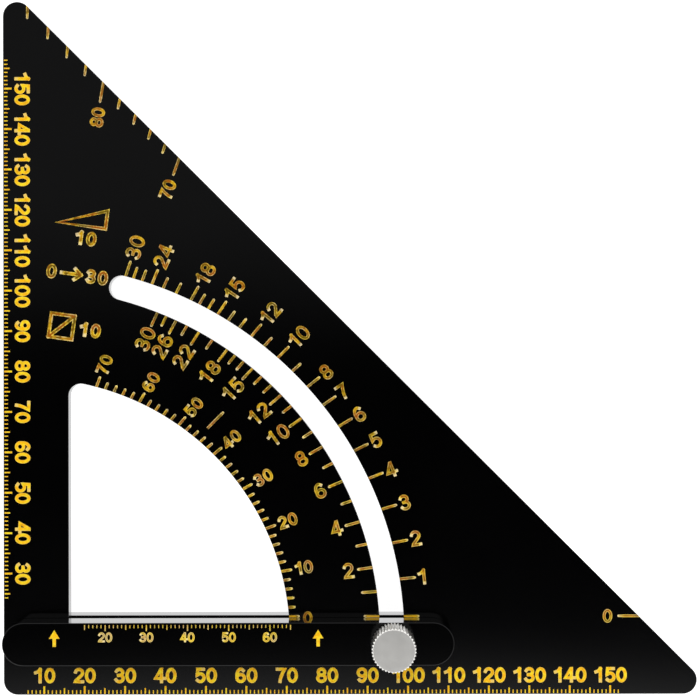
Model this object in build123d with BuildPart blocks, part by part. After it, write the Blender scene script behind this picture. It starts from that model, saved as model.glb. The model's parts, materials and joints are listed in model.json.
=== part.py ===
"""Adjustable set square.

A triangular plate carries a swinging fence: two bars, one on each side of the plate, that turn
together about a pivot near the right-angle corner.  A bolt held in the rear bar runs in an arc
slot of the plate and comes out through the front bar, where a knurled thumb nut locks the fence.
The fence is read at its upper side, so every graduation lies on a reading line: a line at the
graduation's angle, set off from the pivot so that the mark just shows beside the fence.

Frame: +Z points out of the front face, +X runs along the plate's lower edge and along the fence
at zero degrees, and +Y runs up the plate's left edge.  The origin is on the pivot's axis, in the
outer face of the rear bar, which is what the square lies on.  All sizes are in millimetres.
"""

from build123d import *
from math import atan, cos, degrees, radians, sin, sqrt, tan
import os

os.makedirs("parts", exist_ok=True)

# --- Square plate -------------------------------------------------------------------------------
plate_size = 171.45  # each square edge, measured over the rounded tips
plate_thickness = 3.175
tip_radius = 3.5
pivot_from_left_edge = 6.22
pivot_from_lower_edge = 13.77
plate_edge_break = 0.1

# Quarter-circle window between the pivot and the degree scale.
window_radius = 64.56
window_left = 9.9  # pivot to the window's left wall
window_bottom = 2.2  # pivot to the window's lower wall
window_corner_radius = 3.0

# Arc slot that the clamp bolt travels in.
clamp_radius = 89.9  # pivot to the clamp bolt
slot_width = 6.0
swing_angle = 75.0  # degrees, from the fence along the lower edge to its upper stop
slot_overrun = 0.2  # degrees of slot left beyond the bolt at each end of the swing

# --- Fence --------------------------------------------------------------------------------------
fence_width = 10.4
fence_behind_pivot = 5.1  # pivot to the near rounded end
fence_beyond_clamp = 14.87  # clamp bolt to the far rounded end
front_bar_thickness = 6.35
rear_bar_thickness = 4.76
bar_edge_chamfer = 0.12

# --- Pivot --------------------------------------------------------------------------------------
pivot_diameter = 6.0
pivot_head_diameter = 8.4
pivot_head_angle = 90.0
pivot_neck_diameter = 4.5
pivot_neck_length = 4.4
pivot_washer_diameter = 9.6
pivot_washer_thickness = 0.2

# --- Clamp: hexagon-head M4 bolt, sleeve, washer and thumb nut ----------------------------------
bolt_diameter = 4.0
bolt_length = 16.0  # under the head
bolt_head_flats = 7.0
bolt_head_height = 2.8
bolt_head_recess = 0.2  # the head sits this far below the rear bar's outer face
bolt_head_bevel = 30.0  # degrees, of the cone that takes off the hexagon's outer corners
bolt_tip_chamfer = 0.4
sleeve_diameter = 5.9
sleeve_length = 3.0  # shorter than the plate is thick, so that the bars can grip the plate
knob_washer_diameter = 8.0
knob_washer_bore = 4.3
knob_washer_thickness = 0.5
nut_diameter = 10.7  # over the knurl
nut_height = 7.5
nut_rim_width = 0.4  # of the bevel along both rims, seen from above
nut_rim_drop = 0.3
nut_bore_depth = 6.0
nut_mouth_chamfer = 0.3
knurl_teeth = 40
knurl_depth = 0.38

# --- Graduations, cut into the plate's front face -----------------------------------------------
mark_width = 0.65
mark_depth = 0.15
mark_clearance = 0.025  # fence's side to the mark, so that a mark on its reading is seen whole
mark_tip_chamfer = 0.2  # the cutter leaves the mark's blind end rounded off
window_long_mark = 2.7
window_short_mark = 1.8
slot_long_mark = 3.85
slot_short_mark = 2.9
long_edge_long_mark = 4.2
long_edge_short_mark = 2.0
half_right_mark_start = 68.3  # pivot to the extra mark at 45 degrees
half_right_mark_length = 5.4

degree_step = 2
degree_scale_end = 70  # round the window
long_edge_scale_end = 88  # along the long edge, from the window scale's end

# Rise for a run of ten, as the slot's outer scale reads it, and the inner scale for the same roof
# seen along its diagonal, where the run is longer by sqrt(2).
slope_run = 10
outer_long_rises = (0, 1, 2, 3, 4, 5, 6, 7, 8, 10, 12, 15, 18, 24, 30)
outer_short_rises = (9, 11, 13, 14, 16, 17, 20, 22, 26, 28)
inner_long_rises = (0, 1, 2, 4, 6, 8, 10, 12, 15, 18, 22, 26, 30)
inner_short_rises = (3, 5, 7, 9, 11, 13, 14, 16, 17, 20, 24, 28)

# --- Clearances ---------------------------------------------------------------------------------
seat_clearance = 0.01  # radial, between parts that are fixed together
running_clearance = 0.05  # radial or axial, between parts that move on each other
bolt_hole_clearance = 0.15  # radial, bolt shank in the bars

# --- Levels along Z, stacked up from the rear bar's outer face ----------------------------------
bar_gap = pivot_washer_thickness + running_clearance  # plate to bar, on each side
rear_bar_top = rear_bar_thickness
plate_bottom = rear_bar_top + bar_gap
plate_top = plate_bottom + plate_thickness
front_bar_bottom = plate_top + bar_gap
front_bar_top = front_bar_bottom + front_bar_thickness
nut_bottom = front_bar_top + knob_washer_thickness
bolt_seat = bolt_head_recess + bolt_head_height

fence_far_end = clamp_radius + fence_beyond_clamp
fence_length = fence_far_end + fence_behind_pivot
fence_centre = ((fence_far_end - fence_behind_pivot) / 2, 0)
pivot_radius = pivot_diameter / 2
clamp_centre = (clamp_radius, 0)
clamp_axis = Axis((clamp_radius, 0, 0), (0, 0, 1))


# --- Square plate -------------------------------------------------------------------------------
# The sharp-cornered leg is longer than the edge measured over the tips, because rounding a
# 45 degree corner with radius r takes sqrt(2) * r off its point.
leg = plate_size + sqrt(2) * tip_radius
heel = (-pivot_from_left_edge, -pivot_from_lower_edge)
right_tip = (heel[0] + leg, heel[1])
upper_tip = (heel[0], heel[1] + leg)

window_lower_left = (window_left, window_bottom)
window_lower_right = (sqrt(window_radius**2 - window_bottom**2), window_bottom)
window_upper_left = (window_left, sqrt(window_radius**2 - window_left**2))
window_arc_middle = (window_radius / sqrt(2), window_radius / sqrt(2))

slot_inner_radius = clamp_radius - slot_width / 2
slot_outer_radius = clamp_radius + slot_width / 2
line_offset = fence_width / 2 + mark_clearance + mark_width / 2


def reach(radius):
    """Distance along a reading line at which it stands this far from the pivot."""
    return sqrt(radius**2 - line_offset**2)


def reach_to_long_edge(angle):
    """Distance along the reading line at this angle to the plate's long edge."""
    run = cos(radians(angle))
    rise = sin(radians(angle))
    return (heel[0] + heel[1] + leg - line_offset * (run - rise)) / (run + rise)


def mark(angle, wall, length):
    """Sketch one mark that starts at a wall of the plate and runs along its reading line.

    A negative length runs back towards the pivot.  The outline begins one mark's width outside
    the wall, so that the cut is open there whatever the wall's slant.
    """
    side = 1 if length > 0 else -1
    half = mark_width / 2
    start = wall - side * mark_width
    tip = wall + length
    shoulder = tip - side * mark_tip_chamfer
    with Locations(Location((0, 0, 0), (0, 0, angle))):
        with Locations((0, line_offset)):
            Polygon(
                (start, -half),
                (shoulder, -half),
                (tip, mark_tip_chamfer - half),
                (tip, half - mark_tip_chamfer),
                (shoulder, half),
                (start, half),
            )


with BuildPart() as square_plate:
    with BuildSketch(Plane.XY.offset(plate_bottom)) as outline:
        with BuildLine():
            Polyline(heel, right_tip, upper_tip, close=True)
        make_face()
        fillet(outline.vertices(), tip_radius)
    extrude(amount=plate_thickness)

    with BuildSketch(Plane.XY.offset(plate_bottom)) as window:
        with BuildLine():
            Polyline(window_upper_left, window_lower_left, window_lower_right)
            ThreePointArc(window_lower_right, window_arc_middle, window_upper_left)
        make_face()
        fillet(window.vertices(), window_corner_radius)
    extrude(amount=plate_thickness, mode=Mode.SUBTRACT)

    with BuildSketch(Plane.XY.offset(plate_bottom)):
        slot_path = CenterArc((0, 0), clamp_radius, -slot_overrun, swing_angle + 2 * slot_overrun)
        SlotArc(slot_path, slot_width)
        Circle(pivot_radius + running_clearance)
    extrude(amount=plate_thickness, mode=Mode.SUBTRACT)

    for face in square_plate.faces().filter_by(Plane.XY):
        chamfer(face.edges(), plate_edge_break)

    with BuildSketch(Plane.XY.offset(plate_top)):
        for angle in range(0, degree_scale_end + 1, degree_step):
            window_mark = window_short_mark if angle % 10 else window_long_mark
            mark(angle, reach(window_radius), window_mark)
        mark(45, reach(half_right_mark_start) + mark_width, half_right_mark_length - mark_width)
        for rise in outer_long_rises:
            mark(degrees(atan(rise / slope_run)), reach(slot_outer_radius), slot_long_mark)
        for rise in outer_short_rises:
            mark(degrees(atan(rise / slope_run)), reach(slot_outer_radius), slot_short_mark)
        for rise in inner_long_rises:
            angle = degrees(atan(rise / slope_run / sqrt(2)))
            mark(angle, reach(slot_inner_radius), -slot_long_mark)
        for rise in inner_short_rises:
            angle = degrees(atan(rise / slope_run / sqrt(2)))
            mark(angle, reach(slot_inner_radius), -slot_short_mark)
        for angle in range(degree_scale_end, long_edge_scale_end + 1, degree_step):
            edge_mark = long_edge_short_mark if angle % 10 else long_edge_long_mark
            mark(angle, reach_to_long_edge(angle), -edge_mark)
        mark(0, reach_to_long_edge(0), -long_edge_long_mark)
    extrude(amount=-mark_depth, mode=Mode.SUBTRACT)

# --- Fence bars ---------------------------------------------------------------------------------
with BuildPart() as front_bar:
    with BuildSketch(Plane.XY.offset(front_bar_bottom)):
        with Locations(fence_centre):
            SlotOverall(fence_length, fence_width)
    extrude(amount=front_bar_thickness)
    for face in front_bar.faces().filter_by(Plane.XY):
        chamfer(face.edges(), bar_edge_chamfer)

    with BuildSketch(Plane.XY.offset(front_bar_bottom)):
        Circle(pivot_neck_diameter / 2 + seat_clearance)
    extrude(amount=pivot_neck_length + running_clearance, mode=Mode.SUBTRACT)
    with BuildSketch(Plane.XY.offset(front_bar_bottom)):
        with Locations(clamp_centre):
            Circle(bolt_diameter / 2 + bolt_hole_clearance)
    extrude(amount=front_bar_thickness, mode=Mode.SUBTRACT)

with BuildPart() as rear_bar:
    with BuildSketch():
        with Locations(fence_centre):
            SlotOverall(fence_length, fence_width)
    extrude(amount=rear_bar_thickness)
    for face in rear_bar.faces().filter_by(Plane.XY):
        chamfer(face.edges(), bar_edge_chamfer)

    with Locations(Location((0, 0, 0), (180, 0, 0))):
        CounterSinkHole(
            radius=pivot_radius + seat_clearance,
            counter_sink_radius=pivot_head_diameter / 2 + seat_clearance,
            counter_sink_angle=pivot_head_angle,
        )
    with BuildSketch():
        with Locations(clamp_centre):
            Circle(bolt_diameter / 2 + bolt_hole_clearance)
    extrude(amount=rear_bar_thickness, mode=Mode.SUBTRACT)
    with BuildSketch():
        with Locations(clamp_centre):
            RegularPolygon(bolt_head_flats / 2 + running_clearance, 6, major_radius=False)
    extrude(amount=bolt_seat, mode=Mode.SUBTRACT)

# --- Pivot --------------------------------------------------------------------------------------
# A shouldered rivet: its countersunk head lies flush in the rear bar, the plate turns on its
# shoulder, and its neck is pressed into a blind hole of the front bar, so nothing shows in front.
head_depth = (pivot_head_diameter - pivot_diameter) / 2

with BuildPart() as pivot_rivet:
    with BuildSketch(Plane.XZ):
        with BuildLine():
            Polyline(
                (0, 0),
                (pivot_head_diameter / 2, 0),
                (pivot_radius, head_depth),
                (pivot_radius, front_bar_bottom),
                (pivot_neck_diameter / 2, front_bar_bottom),
                (pivot_neck_diameter / 2, front_bar_bottom + pivot_neck_length),
                (0, front_bar_bottom + pivot_neck_length),
                close=True,
            )
        make_face()
    revolve(axis=Axis.Z)

with BuildPart() as rear_pivot_washer:
    with BuildSketch(Plane.XY.offset(rear_bar_top)):
        Circle(pivot_washer_diameter / 2)
        Circle(pivot_radius + running_clearance, mode=Mode.SUBTRACT)
    extrude(amount=pivot_washer_thickness)

with BuildPart() as front_pivot_washer:
    with BuildSketch(Plane.XY.offset(front_bar_bottom)):
        Circle(pivot_washer_diameter / 2)
        Circle(pivot_radius + running_clearance, mode=Mode.SUBTRACT)
    extrude(amount=-pivot_washer_thickness)

# --- Clamp --------------------------------------------------------------------------------------
# The head is turned with a bevel that leaves a round end face as wide as the flats, and the six
# flats are then milled on it.
head_corner_radius = bolt_head_flats / sqrt(3)
head_bevel_height = (head_corner_radius - bolt_head_flats / 2) * tan(radians(bolt_head_bevel))

with BuildPart() as clamp_bolt:
    with BuildSketch(Plane.XZ):
        Polygon(
            (clamp_radius, bolt_head_recess),
            (clamp_radius + bolt_head_flats / 2, bolt_head_recess),
            (clamp_radius + head_corner_radius, bolt_head_recess + head_bevel_height),
            (clamp_radius + head_corner_radius, bolt_seat),
            (clamp_radius, bolt_seat),
        )
    revolve(axis=clamp_axis)
    with BuildSketch(Plane.XY.offset(bolt_head_recess)):
        with Locations(clamp_centre):
            RegularPolygon(bolt_head_flats / 2, 6, major_radius=False)
    extrude(amount=bolt_head_height, mode=Mode.INTERSECT)
    with BuildSketch(Plane.XY.offset(bolt_seat)):
        with Locations(clamp_centre):
            Circle(bolt_diameter / 2)
    extrude(amount=bolt_length)
    chamfer(clamp_bolt.faces().sort_by(Axis.Z)[-1].edges(), bolt_tip_chamfer)

with BuildPart() as slot_sleeve:
    with BuildSketch(Plane.XY.offset(rear_bar_top)):
        with Locations(clamp_centre):
            Circle(sleeve_diameter / 2)
            Circle(bolt_diameter / 2 + running_clearance, mode=Mode.SUBTRACT)
    extrude(amount=sleeve_length)

with BuildPart() as knob_washer:
    with BuildSketch(Plane.XY.offset(front_bar_top)):
        with Locations(clamp_centre):
            Circle(knob_washer_diameter / 2)
            Circle(knob_washer_bore / 2, mode=Mode.SUBTRACT)
    extrude(amount=knob_washer_thickness)

# The nut is turned to size with bevelled rims, and the knurl is cut as V grooves along the whole
# height, so that each tooth ends in a small bright facet at the rim.
nut_top = nut_bottom + nut_height
nut_radius = nut_diameter / 2

with BuildPart() as thumb_nut:
    with BuildSketch(Plane.XZ):
        Polygon(
            (clamp_radius, nut_bottom),
            (clamp_radius + nut_radius - nut_rim_width, nut_bottom),
            (clamp_radius + nut_radius, nut_bottom + nut_rim_drop),
            (clamp_radius + nut_radius, nut_top - nut_rim_drop),
            (clamp_radius + nut_radius - nut_rim_width, nut_top),
            (clamp_radius, nut_top),
        )
    revolve(axis=clamp_axis)

    with BuildSketch(Plane.XY.offset(nut_bottom)):
        with Locations(clamp_centre):
            with PolarLocations(nut_radius, knurl_teeth):
                Rectangle(sqrt(2) * knurl_depth, sqrt(2) * knurl_depth, rotation=45)
    extrude(amount=nut_height, mode=Mode.SUBTRACT)

    with BuildSketch(Plane.XY.offset(nut_bottom)):
        with Locations(clamp_centre):
            Circle(bolt_diameter / 2 + running_clearance)
    extrude(amount=nut_bore_depth, mode=Mode.SUBTRACT)
    mouth = thumb_nut.faces().sort_by(Axis.Z)[0].inner_wires().edges()
    chamfer(mouth, nut_mouth_chamfer)

# --- Labels and files ---------------------------------------------------------------------------
square_plate.part.label = "square_plate"
front_bar.part.label = "front_bar"
rear_bar.part.label = "rear_bar"
pivot_rivet.part.label = "pivot_rivet"
rear_pivot_washer.part.label = "rear_pivot_washer"
front_pivot_washer.part.label = "front_pivot_washer"
clamp_bolt.part.label = "clamp_bolt"
slot_sleeve.part.label = "slot_sleeve"
knob_washer.part.label = "knob_washer"
thumb_nut.part.label = "thumb_nut"

export_step(square_plate.part, "parts/square_plate.step")
export_step(front_bar.part, "parts/front_bar.step")
export_step(rear_bar.part, "parts/rear_bar.step")
export_step(pivot_rivet.part, "parts/pivot_rivet.step")
export_step(rear_pivot_washer.part, "parts/rear_pivot_washer.step")
export_step(front_pivot_washer.part, "parts/front_pivot_washer.step")
export_step(clamp_bolt.part, "parts/clamp_bolt.step")
export_step(slot_sleeve.part, "parts/slot_sleeve.step")
export_step(knob_washer.part, "parts/knob_washer.step")
export_step(thumb_nut.part, "parts/thumb_nut.step")
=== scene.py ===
# %% [markdown]
# # Adjustable set square
# The real tool is a black anodised triangle of aluminium with a swinging fence of two bars, one on
# each side of it, locked by a knurled steel nut. Nearly everything that the eye reads on it is
# yellow paint: enamel wiped into engraved graduations, and printed rulers and arrows. The solids
# come ready from the engineering model, so this lesson is about finishes, paint and light.

# %% Load the engineering model as a fixed frame
import json
import math

import bpy
import numpy as np
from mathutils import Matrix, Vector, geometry


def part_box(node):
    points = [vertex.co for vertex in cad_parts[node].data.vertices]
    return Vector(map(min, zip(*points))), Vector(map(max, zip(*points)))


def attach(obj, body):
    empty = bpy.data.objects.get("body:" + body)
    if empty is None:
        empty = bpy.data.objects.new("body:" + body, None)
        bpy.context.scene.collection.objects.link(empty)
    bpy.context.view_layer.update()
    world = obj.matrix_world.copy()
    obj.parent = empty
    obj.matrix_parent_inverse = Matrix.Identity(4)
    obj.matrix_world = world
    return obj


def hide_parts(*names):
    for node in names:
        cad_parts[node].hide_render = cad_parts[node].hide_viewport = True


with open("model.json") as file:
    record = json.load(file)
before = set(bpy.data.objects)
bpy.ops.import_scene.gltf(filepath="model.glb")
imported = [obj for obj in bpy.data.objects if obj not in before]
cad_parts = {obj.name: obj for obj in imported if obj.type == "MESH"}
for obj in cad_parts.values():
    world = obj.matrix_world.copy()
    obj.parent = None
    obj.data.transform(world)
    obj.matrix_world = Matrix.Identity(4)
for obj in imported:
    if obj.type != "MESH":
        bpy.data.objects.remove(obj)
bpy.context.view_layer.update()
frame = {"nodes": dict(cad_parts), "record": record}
MM = 0.001  # the model is in metres, and a maker thinks in millimetres

# %% [markdown]
# ## Camera
# The tool is seen from straight above, from a third of a metre, so the walls of the window and the
# upper sides of the bars show as thin bands. A camera aimed straight down needs no rotation at
# all: it looks along -Z with +Y up. A very small roll is left in, as on any camera that is levelled
# by eye. The lens follows from two lengths, the height above the plate's face and the width of face
# that has to fill the picture.

# %% Hang the camera above the plate
plate_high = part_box("square_plate")[1]
camera_height = 350 * MM  # above the plate's front face
picture_pixels = 700
pixels_per_mm = 4.042  # on that face
picture_width = picture_pixels / pixels_per_mm * MM
picture_middle = (79.55 * MM, 71.42 * MM)  # from the pivot
roll = -0.09  # degrees, clockwise seen from above

camera_data = bpy.data.cameras.new("camera")
camera_data.sensor_width = 36
camera_data.lens = camera_data.sensor_width * camera_height / picture_width
camera = bpy.data.objects.new("camera", camera_data)
camera.location = (*picture_middle, plate_high.z + camera_height)
camera.rotation_euler = (0, 0, math.radians(roll))
bpy.context.scene.collection.objects.link(camera)
bpy.context.scene.camera = camera
bpy.context.scene.view_settings.view_transform = "Standard"
print(f"lens {camera_data.lens:.2f} mm, camera {camera.location.z / MM:.1f} mm above the bench")

# %% [markdown]
# ## Nodes
# Every finish below is a small graph of nodes. One helper adds a node, sets its properties, and
# fills its sockets, with plain values, colours or links from other nodes. Colours are written as
# the hex values that a colour picker shows, and turned to the linear ones that a render needs.


# %% Helpers for node graphs
def empty_tree(owner):
    """Switch the nodes of a world or a material on, and return its tree without any."""
    owner.use_nodes = True
    owner.node_tree.nodes.clear()
    return owner.node_tree


def linear(colour):
    """Turn an sRGB hex colour into linear red, green, blue and a full alpha."""
    shares = [int(colour[i : i + 2], 16) / 255 for i in (1, 3, 5)]
    curve = [s / 12.92 if s <= 0.04045 else ((s + 0.055) / 1.055) ** 2.4 for s in shares]
    return (*curve, 1.0)


def add(tree, kind, inputs=None, **settings):
    """Add a node and return its outputs. kind is its type without the ShaderNode in front.

    Each of its inputs gets a value, a hex colour or a link; settings are its properties.
    """
    node = tree.nodes.new("ShaderNode" + kind)
    for name, value in settings.items():
        setattr(node, name, value)
    for socket, value in (inputs or {}).items():
        if isinstance(value, bpy.types.NodeSocket):
            tree.links.new(value, node.inputs[socket])
        else:
            value = linear(value) if isinstance(value, str) else value
            node.inputs[socket].default_value = value
    return node.outputs


print("middle grey is", round(linear("#808080")[0], 3), "in linear light")

# %% [markdown]
# ## Light
# Black gloss shows its surroundings and hardly anything else. Such a tool is lit in a white tent
# with a dark opening overhead for the camera: the plate mirrors the opening and goes black, while
# the paint gathers light from the whole tent and glows. The opening is a soft-edged rectangle in
# the world's brightness, worked out from the two level parts of a ray's direction. Thin grey cloth
# hangs in half of it, and the upper part of the plate mirrors that as a faint sheen. There is no
# lamp, so no hard image of one shows in the bars.

# %% A white tent with a dark opening
tent_strength = 1.2
# The opening's middle, and where its soft edges begin and end, in level parts of a direction.
opening_middle, side_edge, end_edge = 0.07, (0.3, 0.5), (0.272, 0.362)

bpy.context.scene.world = bpy.data.worlds.new("tent")
tree = empty_tree(bpy.context.scene.world)
place = add(tree, "TexCoord")
ray_way = add(tree, "SeparateXYZ", {"Vector": place["Generated"]})
shift = add(tree, "Math", {0: ray_way["Y"], 1: opening_middle}, operation="SUBTRACT")
walls = []
for way, (begin, end) in ((ray_way["X"], side_edge), (shift["Value"], end_edge)):
    aside = add(tree, "Math", {0: way}, operation="ABSOLUTE")
    wall = add(
        tree,
        "MapRange",
        {"Value": aside["Value"], "From Min": begin, "From Max": end, "To Max": tent_strength},
        interpolation_type="SMOOTHSTEP",
    )
    walls.append(wall["Result"])
cloth = add(
    tree,
    "MapRange",
    {"Value": ray_way["Y"], "From Min": -0.025, "From Max": 0.11, "To Min": 0.004, "To Max": 0.165},
    interpolation_type="SMOOTHSTEP",
)
bright_walls = add(tree, "Math", {0: walls[0], 1: walls[1]}, operation="MAXIMUM")
tent = add(tree, "Math", {0: bright_walls["Value"], 1: cloth["Result"]}, operation="MAXIMUM")
lit = add(tree, "Background", {"Color": "#FFFFFF", "Strength": tent["Value"]})
plain = add(tree, "Background", {"Color": "#FFFFFF", "Strength": 1.0})
ray = add(tree, "LightPath")
seen = add(
    tree, "MixShader", {0: ray["Is Camera Ray"], 1: lit["Background"], 2: plain["Background"]}
)
add(tree, "OutputWorld", {"Surface": seen["Shader"]})
print("tent strength", tent_strength)

# %% [markdown]
# ## Floor
# The floor is plain white paper. Camera rays meet an even white glow with some ordinary paper added
# to it, so the background stays clean and only the deepest shadow under the tool shows. Mirror and
# glass rays meet the glow alone, which gives the bars' polished sides something white to mirror.
# All other rays meet plain paper, which throws soft light back up at the tool.

# %% Paper that keeps the shadow
glow = 0.92  # share of the floor's white that no shadow can take away
paper = bpy.data.materials.new("white_paper_floor")
tree = empty_tree(paper)
shaded = add(tree, "BsdfDiffuse", {"Color": "#BCBCBC"})
even = add(tree, "Emission", {"Color": "#FFFFFF", "Strength": glow})
both = add(tree, "AddShader", {0: shaded["BSDF"], 1: even["Emission"]})
sheet = add(tree, "Emission", {"Color": "#FFFFFF", "Strength": 1.0})
plain = add(tree, "BsdfDiffuse", {"Color": "#E6E6E6"})
ray = add(tree, "LightPath")
mirrored = add(
    tree, "Math", {0: ray["Is Glossy Ray"], 1: ray["Is Transmission Ray"]}, operation="MAXIMUM"
)
unseen = add(tree, "MixShader", {0: mirrored["Value"], 1: plain["BSDF"], 2: sheet["Emission"]})
seen = add(tree, "MixShader", {0: ray["Is Camera Ray"], 1: unseen["Shader"], 2: both["Shader"]})
add(tree, "OutputMaterial", {"Surface": seen["Shader"]})


# %% Lay the paper
def new_object(name, points, faces, finish):
    """Make an object with one finish from points in millimetres, and put it into the scene."""
    mesh = bpy.data.meshes.new(name)
    mesh.from_pydata((np.array(points) * MM).tolist(), [], faces)
    mesh.materials.append(finish)
    made = bpy.data.objects.new(name, mesh)
    bpy.context.scene.collection.objects.link(made)
    return made


half = 3000  # of the floor's width
floor_level = -0.01  # a hair below the tool, so that the two don't lie in one plane
corners = [(-half, -half), (half, -half), (half, half), (-half, half)]
floor = new_object("floor", [(*corner, floor_level) for corner in corners], [(0, 1, 2, 3)], paper)
print("floor", 2 * half, "mm wide")

# %% [markdown]
# ## Black anodised plate
# The plate is rolled aluminium, blasted with fine beads, anodised, dyed black and sealed. The dye
# sits in a clear oxide skin over bright metal, so seen head on it is nearly black, and aslant it
# mirrors like varnish: a metal of nearly black colour under a clear coat gives both. At the
# flattest angles no light gets down to the dye, and the skin alone mirrors, so there the colour
# turns grey. Blasting leaves dimples of about 0.1 mm; they are drawn at 0.45 mm so that they show.


# %% The plate's finish
def new_material(name):
    """Make a material, and return it with its tree and the coordinates for its patterns."""
    material = bpy.data.materials.new(name)
    tree = empty_tree(material)
    print("made", name)
    return material, tree, add(tree, "TexCoord")


def complete(tree, inputs):
    """End a material's tree with one Principled shader that takes these links and values."""
    surface = add(tree, "BsdfPrincipled", inputs)
    add(tree, "OutputMaterial", {"Surface": surface["BSDF"]})


def anodising(tree, pattern):
    """Sockets that all dyed aluminium shares, patchy after a pattern, and where skin hides dye."""
    dye = add(tree, "Mix", {0: pattern, 6: "#020203", 7: "#060607"}, data_type="RGBA")
    edge_on = add(tree, "LayerWeight", {"Blend": 0.5})
    skin = add(tree, "MapRange", {"Value": edge_on["Facing"], "From Min": 0.76, "From Max": 0.8})
    film = add(tree, "Mix", {0: skin["Result"], 6: dye[2], 7: "#8C8C8E"}, data_type="RGBA")
    shared = {"Base Color": film[2], "Metallic": 1.0, "Coat Roughness": 0.1, "Coat IOR": 1.5}
    return shared, skin["Result"]


spread = {"From Min": 0.3, "From Max": 0.7}  # nearly all of a noise's values lie in here
anodised_plate, tree, place = new_material("black_anodised_plate_aluminium")
dimples = add(
    tree, "TexNoise", {"Vector": place["Object"], "Scale": 1 / (0.45 * MM), "Detail": 2.0}
)
clouds = add(tree, "TexNoise", {"Vector": place["Object"], "Scale": 1 / (18 * MM), "Detail": 3.0})
shared, skin = anodising(tree, clouds["Fac"])
gloss = add(tree, "MapRange", {"Value": clouds["Fac"], **spread, "To Min": 0.26, "To Max": 0.34})
relief = add(tree, "Bump", {"Height": dimples["Fac"], "Strength": 0.25, "Distance": 0.01 * MM})
complete(
    tree, {**shared, "Coat Weight": 1.0, "Roughness": gloss["Result"], "Normal": relief["Normal"]}
)

# %% [markdown]
# ## Black anodised bars
# The fence is extruded bar, drawn smooth and anodised without blasting, so it is glossier than the
# plate, and at the flattest angles its sides mirror almost cleanly. Extrusion leaves faint lines
# along its length, about 0.05 mm apart. They are drawn at 0.3 mm, by a stretched noise.

# %% The bars' finish
anodised_bar, tree, place = new_material("black_anodised_bar_aluminium")
stretch = add(tree, "Mapping", {"Vector": place["Object"], "Scale": (0.02, 1.0, 1.0)})
lines = add(tree, "TexNoise", {"Vector": stretch["Vector"], "Scale": 1 / (0.3 * MM), "Detail": 2.0})
shared, skin = anodising(tree, lines["Fac"])
gloss = add(tree, "MapRange", {"Value": lines["Fac"], **spread, "To Min": 0.16, "To Max": 0.22})
smoothed = add(tree, "Mix", {0: skin, 2: gloss["Result"], 3: 0.04}, data_type="FLOAT")
relief = add(tree, "Bump", {"Height": lines["Fac"], "Strength": 0.12, "Distance": 0.004 * MM})
complete(tree, {**shared, "Coat Weight": 0.5, "Roughness": smoothed[0], "Normal": relief["Normal"]})

# %% [markdown]
# ## Turned steel
# The thumb nut is turned from free-cutting steel, knurled and plated with satin nickel. The lathe
# tool leaves fine rings round the axis on the end face, at a feed of about 0.08 mm; they are drawn
# at 0.3 mm. The knurling wheel crushes the flank's metal, so the roughness depends on which way the
# surface looks: the flank scatters light a little more widely than the face.

# %% The thumb nut's finish
clamp_low, clamp_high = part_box("thumb_nut")
clamp_axis = ((clamp_low.x + clamp_high.x) / 2, (clamp_low.y + clamp_high.y) / 2, 0.0)

turned_steel, tree, place = new_material("knurled_satin_nickel_steel")
centred = add(tree, "VectorMath", {0: place["Object"], 1: clamp_axis}, operation="SUBTRACT")
across = add(tree, "VectorMath", {0: centred["Vector"], 1: (1.0, 1.0, 0.0)}, operation="MULTIPLY")
radius = add(tree, "VectorMath", {0: across["Vector"]}, operation="LENGTH")
feed = add(tree, "Math", {0: radius["Value"], 1: math.tau / (0.3 * MM)}, operation="MULTIPLY")
rings = add(tree, "Math", {0: feed["Value"]}, operation="SINE")
handling = add(
    tree, "TexNoise", {"Vector": place["Object"], "Scale": 1 / (2.5 * MM), "Detail": 3.0}
)
bright = add(tree, "Mix", {0: handling["Fac"], 6: "#E6E4E0", 7: "#EFEEEA"}, data_type="RGBA")
facing = add(tree, "SeparateXYZ", {"Vector": place["Normal"]})
knurled = add(
    tree,
    "MapRange",
    {"Value": facing["Z"], "From Min": 0.9, "From Max": 0.1, "To Min": 0.3, "To Max": 0.34},
)
worn = add(tree, "MapRange", {"Value": handling["Fac"], **spread, "To Min": -0.02, "To Max": 0.02})
gloss = add(tree, "Math", {0: knurled["Result"], 1: worn["Result"]}, operation="ADD")
relief = add(tree, "Bump", {"Height": rings["Value"], "Strength": 0.1, "Distance": 0.006 * MM})
metal = {"Base Color": bright[2], "Metallic": 1.0}
complete(tree, {**metal, "Roughness": gloss["Value"], "Normal": relief["Normal"]})
print("turned round", [round(c / MM, 2) for c in clamp_axis])

# %% [markdown]
# ## Zinc-plated steel
# Bolt, sleeve, washer and rivet are bought-in fasteners with bright zinc plate. Zinc grows in
# small crystals that reflect a little more or less than their neighbours, about 0.2 mm across and
# drawn at 0.4 mm, over a bluish silver.

# %% The fasteners' finish
zinc_plate, tree, place = new_material("bright_zinc_plated_steel")
crystals = add(tree, "TexVoronoi", {"Vector": place["Object"], "Scale": 1 / (0.4 * MM)})
shade = add(tree, "SeparateColor", {"Color": crystals["Color"]})
silver = add(tree, "Mix", {0: shade["Red"], 6: "#B4B8BC", 7: "#C9CDD0"}, data_type="RGBA")
gloss = add(tree, "MapRange", {"Value": shade["Green"], "To Min": 0.26, "To Max": 0.38})
complete(tree, {"Base Color": silver[2], "Roughness": gloss["Result"], "Metallic": 1.0})

# %% [markdown]
# ## Acetal washers
# The two thin washers between plate and bars are stamped from natural acetal, a waxy white
# plastic. Its sheen is low and a little uneven, from the rolls that the sheet was made between.

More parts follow.
